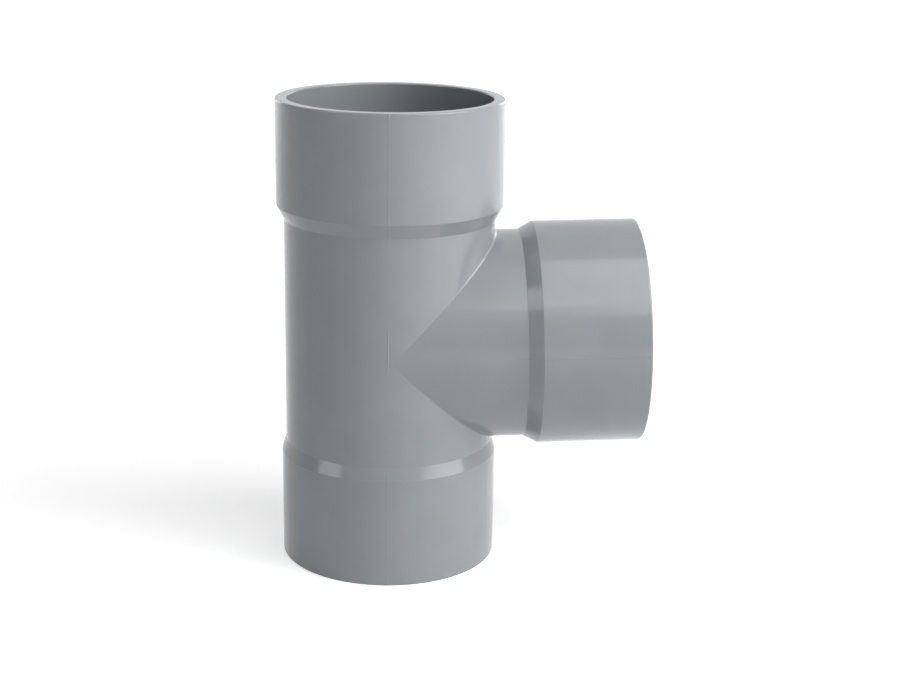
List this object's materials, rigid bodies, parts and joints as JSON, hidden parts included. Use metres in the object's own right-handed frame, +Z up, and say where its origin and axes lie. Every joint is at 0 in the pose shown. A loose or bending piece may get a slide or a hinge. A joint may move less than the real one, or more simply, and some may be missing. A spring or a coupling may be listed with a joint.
{
  "type": "drainage tee",
  "caption": "One-piece grey plastic drainage tee with plain solvent-weld sockets on a straight run and on a branch that rises slightly.",
  "frame": {"origin": "centre of the lower mouth, in the plane of its rim", "axes": "+Z up the run, from the lower mouth to the upper mouth; +X towards the side the branch leaves on; the branch axis lies in the XZ plane and rises 1.5 degrees from +X"},
  "size_m": [0.091, 0.056, 0.1164],
  "materials": {
    "grey_pvc": "smooth moulded PVC-U with a satin sheen"
  },
  "bodies": {
    "root": {"tee": "grey_pvc"}
  },
  "joints": []
}
